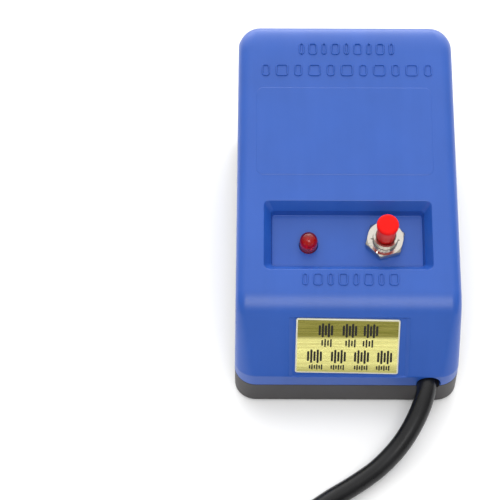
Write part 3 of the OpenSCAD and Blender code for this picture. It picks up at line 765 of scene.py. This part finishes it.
def cover_skin(moved_in, low_z):
    """Points and faces of the cover's outside, or with moved_in of the space inside it."""
    steps = 10
    angles = [math.pi / 2 * k / steps for k in range(steps + 1)]
    points = []
    faces = []
    outline = side_outline(low_z)
    for base, inward, radius, chamfer in outline:
        edge = max(radius - moved_in, 0.6)
        for side, turns in ((1, reversed(angles)), (-1, angles)):
            for a in turns:
                sunk = moved_in + chamfer + edge * (1 - math.cos(a))
                place = base + inward * sunk
                x = half_width(place.y) - moved_in - chamfer - edge * (1 - math.sin(a))
                points.append((side * x, place.x, place.y))
    count = 2 * len(angles)
    last = (len(outline) - 1) * count
    for i in range(len(outline) - 1):
        for k in range(count - 1):
            a, b = i * count + k, (i + 1) * count + k
            faces.append((a, a + 1, b + 1, b))
    faces.append(tuple(i * count for i in range(len(outline))))
    faces.append(tuple(i * count + count - 1 for i in range(len(outline))))
    faces.append(tuple(range(count)) + tuple(last + k for k in reversed(range(count))))
    return points, faces


def recess_rows():
    """(lean, height) of the recess's wall, from above its mouth to its floor."""
    mouth = Vector((0, 0))
    knee = Vector((KNEE_LEAN, -KNEE_DEPTH))
    foot = Vector((FLOOR_LEAN, -RECESS_DEPTH))
    lip = fillet(mouth, (1, 0), knee - mouth, 0.35, 6)[1:]
    first = lip[0]
    start = first - (lip[1] - lip[0]).normalized() * 4
    bend = fillet(knee, knee - mouth, foot - knee, 0.3, 3)
    floor = fillet(foot, foot - knee, (1, 0), 0.25, 4)
    return [start] + lip + bend + floor


def recess_tool():
    """The recess as a solid to cut away."""
    rows = []
    for lean, h in recess_rows():
        share = min(1, max(0, lean / FLOOR_LEAN))
        r = RECESS_MOUTH_R + (RECESS_FLOOR_R - RECESS_MOUTH_R) * share - min(0, lean)
        loop = rounded_rect(RECESS_W - 2 * lean, RECESS_L - 2 * lean, r)
        rows.append([on_top(x, RECESS_U + u, h) for x, u in loop])
    return new_piece("recess_tool", *lofted(rows), body=None)


def hole_tool(name, x, u, r, low_h, high_h):
    """A round hole through the recess floor, with a broken upper edge."""
    edge = 0.15
    floor = -RECESS_DEPTH
    rows = []
    for radius, h in ((r, low_h), (r, floor - edge), (r + edge, floor), (r + edge, high_h)):
        rows.append([on_top(x + a, u + b, h) for a, b in circle_loop(radius)])
    return new_piece(name, *lofted(rows), body=None)


def pocket_tool():
    """The name plate's pocket, with leaning sides, open to the skirt."""
    rows = []
    mouth = Vector((0, 0))
    foot = Vector((1.15, -POCKET_DEPTH))
    profile = fillet(mouth, (1, 0), foot, 0.5, 4)[1:]
    profile += fillet(foot, foot, (1, 0), 0.3, 3)
    start = profile[0] - (profile[1] - profile[0]).normalized() * 2
    middle_v = (POCKET_LOW_V + POCKET_TOP_V) / 2
    long_v = POCKET_TOP_V - POCKET_LOW_V
    for lean, n in [start] + profile:
        loop = rounded_rect(POCKET_W - 2 * lean, long_v - 0.7 * lean, 0.4 + max(0, -lean), 4)
        rows.append([on_face(POCKET_X + x, middle_v + v, n) for x, v in loop])
    return new_piece("pocket_tool", *lofted(rows), body=None)


def notch_tool():
    """The hole for the lead, along Y through the seam."""
    edge = 0.3
    rows = []
    for r, y in ((NOTCH_R + 1, FRONT_Y - 1), (NOTCH_R + edge, FRONT_Y), (NOTCH_R, FRONT_Y + edge),
                 (NOTCH_R, FRONT_Y + 6)):
        rows.append([(NOTCH_X + a, y, NOTCH_Z + b) for a, b in circle_loop(r, 48)])
    return new_piece("notch_tool", *lofted(rows), body=None)


def tub_tool():
    """The walls and floor of the recess, which stand into the space inside the cover."""
    rows = []
    for grow, h in ((0, 8), (0, UNDER_H + 0.5), (-0.5, UNDER_H)):
        loop = rounded_rect(RECESS_W + 3.6 + 2 * grow, RECESS_L + 3.2 + 2 * grow, 2)
        rows.append([on_top(x, RECESS_U + u, h) for x, u in loop])
    return new_piece("tub_tool", *lofted(rows), body=None)


def raised_frame(x, u, w, l, stroke, high):
    """A raised outline on the top: a rounded frame with sloping sides."""
    slope = 0.12
    sunk = -0.3
    rows = []
    foot = 0.02
    sides = (
        (0, sunk), (0, foot), (-slope, high), (slope - stroke, high), (-stroke, foot), (-stroke, sunk))
    for grow, h in sides:
        loop = rounded_rect(w + 2 * grow, l + 2 * grow, 0.9 + grow, 5)
        rows.append([on_top(x + a, u + b, h) for a, b in loop])
    rows.append(rows[0])
    return lofted(rows, closed_ends=False)


def raised_marks():
    """Three rows of plain raised frames, moulded into the top."""
    shapes = []
    for count, u, l, left, right in ((9, 77.35, 3.8, -14.3, 14.8), (11, 70.55, 3.8, -25.3, 25.9),
                                     (8, 6.8, 3.7, -13.7, 14.2)):
        pitch = (right - left) / count
        for k in range(count):
            w = pitch * (0.78 if k % 2 else 0.5)
            shapes.append(raised_frame(left + pitch * (k + 0.5), u, w, l, 0.5, 0.3))
    panel = []
    for grow, h in ((0, -0.2), (0, 0.005), (-0.25, 0.14)):
        loop = rounded_rect(49.9 + 2 * grow, 27.1 + 2 * grow, 2 + grow)
        panel.append([on_top(a - 0.65, b + 51.45, h) for a, b in loop])
    return join(*shapes, lofted(panel))


def make_cover(own):
    """The blue cover: skin, hollow inside, recess, pocket, lead hole and raised marks."""
    cover = new_piece("cover", *cover_skin(0, SEAM_Z), body=None)
    hollow = new_piece("hollow_tool", *cover_skin(WALL, SEAM_Z - 2), body=None)
    cut(hollow, [tub_tool()])
    cut(cover, [
        hollow, recess_tool(), pocket_tool(), notch_tool(),
        hole_tool("lamp_hole", LAMP_X, LAMP_U, LAMP_R + 0.08, UNDER_H - 3, 3),
        hole_tool("switch_hole", BUTTON_X, BUTTON_U, BUSHING_R + 0.1, UNDER_H - 3, 3)])
    marks = new_piece("marks", *raised_marks(), body=None)
    bm = bmesh.new()
    bm.from_mesh(cover.data)
    bm.from_mesh(marks.data)
    bm.to_mesh(cover.data)
    bm.free()
    bpy.data.objects.remove(marks)
    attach(cover, "case")
    cover.data.materials.append(own["blue_plastic"])
    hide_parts("upper_cover")
    weigh_normals(cover)
    return cover


# ---- Name plate ----

def plate_point(x, v, n):
    """A point on the name plate, which sits a little askew."""
    c, s = math.cos(PLATE_SKEW), math.sin(PLATE_SKEW)
    return on_face(PLATE_X + x * c - v * s, PLATE_V + x * s + v * c, n - POCKET_DEPTH)


def make_name_plate(own):
    """The plate: brushed middle, and a bare bright edge round it."""
    border = 0.42
    rows = []
    for grow, n in ((0, 0), (0, PLATE_T - 0.12), (-0.12, PLATE_T), (-border, PLATE_T)):
        loop = rounded_rect(PLATE_W + 2 * grow, PLATE_H + 2 * grow, 0.6 + grow, 5)
        rows.append([plate_point(x, v, n) for x, v in loop])
    plate = new_piece("name_plate_sheet", *lofted(rows))
    plate.data.materials.append(own["gold_plate"])
    plate.data.materials.append(detailed(
        "plate_edge", (0.82, 0.8, 0.62), 0.35, metallic=0.5, grain=0.2, depth=0.003))
    for face in plate.data.polygons:
        face.material_index = 0 if len(face.vertices) > 4 else 1
    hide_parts("name_plate")


def ink_bar(x, v, w, l):
    """A thin printed bar."""
    rows = []
    for n in (PLATE_T - 0.02, PLATE_T + 0.02):
        rows.append([plate_point(x + a, v + b, n) for a, b in rounded_rect(w, l, min(w, l) * 0.4, 2)])
    return lofted(rows)


def make_plate_print():
    """Plain printed strokes in four rows, as a pattern of upright bars."""
    shapes = []
    lines = (
        (4.75, 4.2, 0.62, [-8.2, -1.6, 4.2], 4.2, 5),
        (0.95, 2.4, 0.46, [-7.4, -0.8, 4.0], 3.2, 4),
        (-3.1, 4.1, 0.6, [-11.2, -4.6, 1.8, 8.2], 4.4, 5),
        (-6.35, 1.6, 0.42, [-10.6, -4.6, 1.9, 8.0], 4.0, 6))
    for v, high, stroke, starts, long, count in lines:
        for start in starts:
            for k in range(count):
                tall = high * (1 if k % 2 else 0.72)
                shapes.append(ink_bar(start + long * (k + 0.5) / count, v, stroke, tall))
    ink = new_piece("name_plate_print", *join(*shapes))
    black = detailed("print_ink", (0.006, 0.005, 0.003), 0.6, grain=0.2, depth=0.003, tint=0.3)
    ink.data.materials.append(black)


# ---- Lamp and push button ----

def at(x, u):
    """A function that places a point about an axis square to the top."""
    return lambda a, b, h: on_top(x + a, u + b, h)


def make_lamp(own):
    """The lamp's lens: a round-nosed cylinder with a flange under the panel."""
    dome = [(LAMP_R * math.cos(math.radians(d)), LAMP_DOME_H + LAMP_R * math.sin(math.radians(d)))
            for d in range(90, -1, -6)]
    low_h = UNDER_H - 1
    profile = dome + [(LAMP_R, UNDER_H), (LAMP_R + 0.35, UNDER_H - 0.05), (LAMP_R + 0.4, low_h + 0.1),
                      (LAMP_R + 0.3, low_h), (0, low_h)]
    lens = new_piece("lamp_lens_red", *spun(profile, at(LAMP_X, LAMP_U), 72))
    lens.data.materials.append(own["red_lens"])
    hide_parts("lamp_lens")


def make_cap(own):
    """The button's cap: narrow at the neck, wider at the crown, with a flat top."""
    crown, neck = 3.05, 2.6
    top, low = 8.0, -2.3
    round_r = 0.85
    edge = []
    for d in range(84, -1, -12):
        a = math.radians(d)
        edge.append((crown - round_r + round_r * math.cos(a), top - round_r + round_r * math.sin(a)))
    profile = [(0, top), (crown - round_r, top)] + edge
    profile += [(crown - 0.02, 6.7), (2.86, 5.2), (2.68, 3.6)]
    profile += [(neck, 2.2), (neck, -2.0), (neck - 0.2, low), (0, low)]
    cap = new_piece("button_cap_red", *spun(profile, at(BUTTON_X, BUTTON_U), 72), body="button")
    cap.data.materials.append(own["red_plastic"])
    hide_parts("button_cap")


# ---- Plug and tie ----

def plug_point(a, b, d):
    """A point on the plug: across, up, and back from its face."""
    return Vector((PLUG_X + a, PLUG_FACE_Y + d, PLUG_Z + b))


def make_plug(own):
    """A flat two-pin plug that narrows to a ribbed tail."""
    rows = []
    sections = [
        (32.9, 11.3, 4.2, 0), (34.3, 12.7, 4.6, 0.25), (35.3, 13.7, 5, 1.2), (35.3, 13.7, 5, 10),
        (34.8, 13.3, 5, 12), (32.6, 12.6, 5, 14.2), (27.0, 12.1, 5, 17.5), (20.6, 11.4, 4.9, 21),
        (15.6, 10.8, 4.8, 23.5), (12.4, 9.9, 4.6, 25)]
    for w, l, r, d in sections:
        rows.append([plug_point(a, b, d) for a, b in rounded_rect(w, l, r)])
    ribs = 9
    first_rib, last_rib = 25.6, 46
    groove = 0.5
    pitch = (last_rib - first_rib) / ribs
    for k in range(ribs):
        d = first_rib + pitch * k
        r = 4.6 - 0.11 * k
        for radius, back in ((r - groove, 0), (r, 0.35), (r, 1.25), (r - groove, 1.6)):
            loop = rounded_rect(2 * radius, 2 * radius, radius - 0.01)
            rows.append([plug_point(a, b, d + back) for a, b in loop])
    plug = new_piece("plug_moulding", *lofted(rows))
    plug.data.materials.append(own["cord_pvc"])
    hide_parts("plug_body")
    weigh_normals(plug)
    return plug


def make_tie():
    """A nylon strap round the coil's turns."""
    rows = []
    middle_r = (COIL_INNER + COIL_OUTER) / 2
    middle_z = COIL_ROWS * CORD_R + TIE_T + 0.35
    w = 2 * CORD_D + 0.1
    l = COIL_ROWS * CORD_D + 0.6
    for side, grow in ((-1, 0), (1, 0), (1, TIE_T), (-1, TIE_T)):
        loop = rounded_rect(w + 2 * grow, l + 2 * grow, CORD_R + grow)
        rows.append([COIL_AT + Vector((middle_r + a, side * TIE_W / 2, middle_z + b)) for a, b in loop])
    rows.append(rows[0])
    tie = new_piece("cord_strap", *lofted(rows, closed_ends=False))
    tie.data.materials.append(bpy.data.materials["tie_plastic"])
    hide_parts("cord_tie")
    return tie


# ---- Studio ----

def make_floor():
    """A plain pale square of floor, six metres across."""
    mesh = bpy.data.meshes.new("floor")
    half = 3
    corners = [(-half, -half, 0), (half, -half, 0), (half, half, 0), (-half, half, 0)]
    mesh.from_pydata(corners, [], [(0, 1, 2, 3)])
    floor = bpy.data.objects.new("floor", mesh)
    bpy.context.scene.collection.objects.link(floor)
    floor.data.materials.append(new_material("floor", (0.96, 0.96, 0.96), 0.9))


def area_light(name, place, aim, width, length, power):
    """A soft oblong light, in metres and watts, aimed at a point."""
    data = bpy.data.lights.new(name, "AREA")
    data.shape = "RECTANGLE"
    data.size = width
    data.size_y = length
    data.energy = power
    lamp = bpy.data.objects.new(name, data)
    bpy.context.scene.collection.objects.link(lamp)
    lamp.location = place
    direction = Vector(aim) - Vector(place)
    lamp.rotation_mode = "QUATERNION"
    lamp.rotation_quaternion = direction.to_track_quat("-Z", "Y")
    return lamp


def make_studio():
    """A white room that is brightest behind the object and dim at its sides and front."""
    world = bpy.data.worlds.new("studio")
    bpy.context.scene.world = world
    world.use_nodes = True
    tree = world.node_tree
    background = tree.nodes["Background"]
    background.inputs["Color"].default_value = (1, 1, 1, 1)
    coords = tree.nodes.new("ShaderNodeTexCoord")
    parts = tree.nodes.new("ShaderNodeSeparateXYZ")
    tree.links.new(coords.outputs["Generated"], parts.inputs["Vector"])

    def sum_node(operation, first, second, third=0):
        made = tree.nodes.new("ShaderNodeMath")
        made.operation = operation
        for socket, value in zip(made.inputs, (first, second, third)):
            if isinstance(value, (int, float)):
                socket.default_value = value
            else:
                tree.links.new(value, socket)
        return made.outputs["Value"]

    depth = parts.outputs["Y"]
    slope = sum_node("MULTIPLY_ADD", depth, 0.88, 1.25)
    behind = sum_node("POWER", sum_node("MAXIMUM", depth, 0), 3)
    behind = sum_node("MULTIPLY_ADD", behind, 2.4, slope)
    across = sum_node("POWER", parts.outputs["X"], 2)
    dimming = sum_node("MULTIPLY_ADD", across, -0.74, 1)
    strength = sum_node("MULTIPLY", behind, dimming)
    tree.links.new(strength, background.inputs["Strength"])
    area_light("low", (0.0, -0.8, 0.17), (0, -0.045, 0.02), 0.25, 0.12, 0.1)
    area_light("front", (0.0, -0.56, 0.83), (0, -0.02, 0.03), 0.6, 0.5, 3.6)
    bpy.context.scene.view_settings.view_transform = "Standard"


# ---- Everything ----

make_camera()
cord, cord_length = make_cord()
finishes = paint_nodes()
make_cover(finishes)
make_name_plate(finishes)
make_plate_print()
make_lamp(finishes)
make_cap(finishes)
plug = make_plug(finishes)
tie = make_tie()
for name, width in (("base_plate", 0.3), ("case_screws", 0.12), ("rubber_feet", 0.3),
                    ("switch_nut", 0.12), ("switch_lock_washer", 0.08), ("plug_pins", 0.1),
                    ("cord_clamp", 0.25)):
    soften_node(name, width)
make_floor()
make_studio()
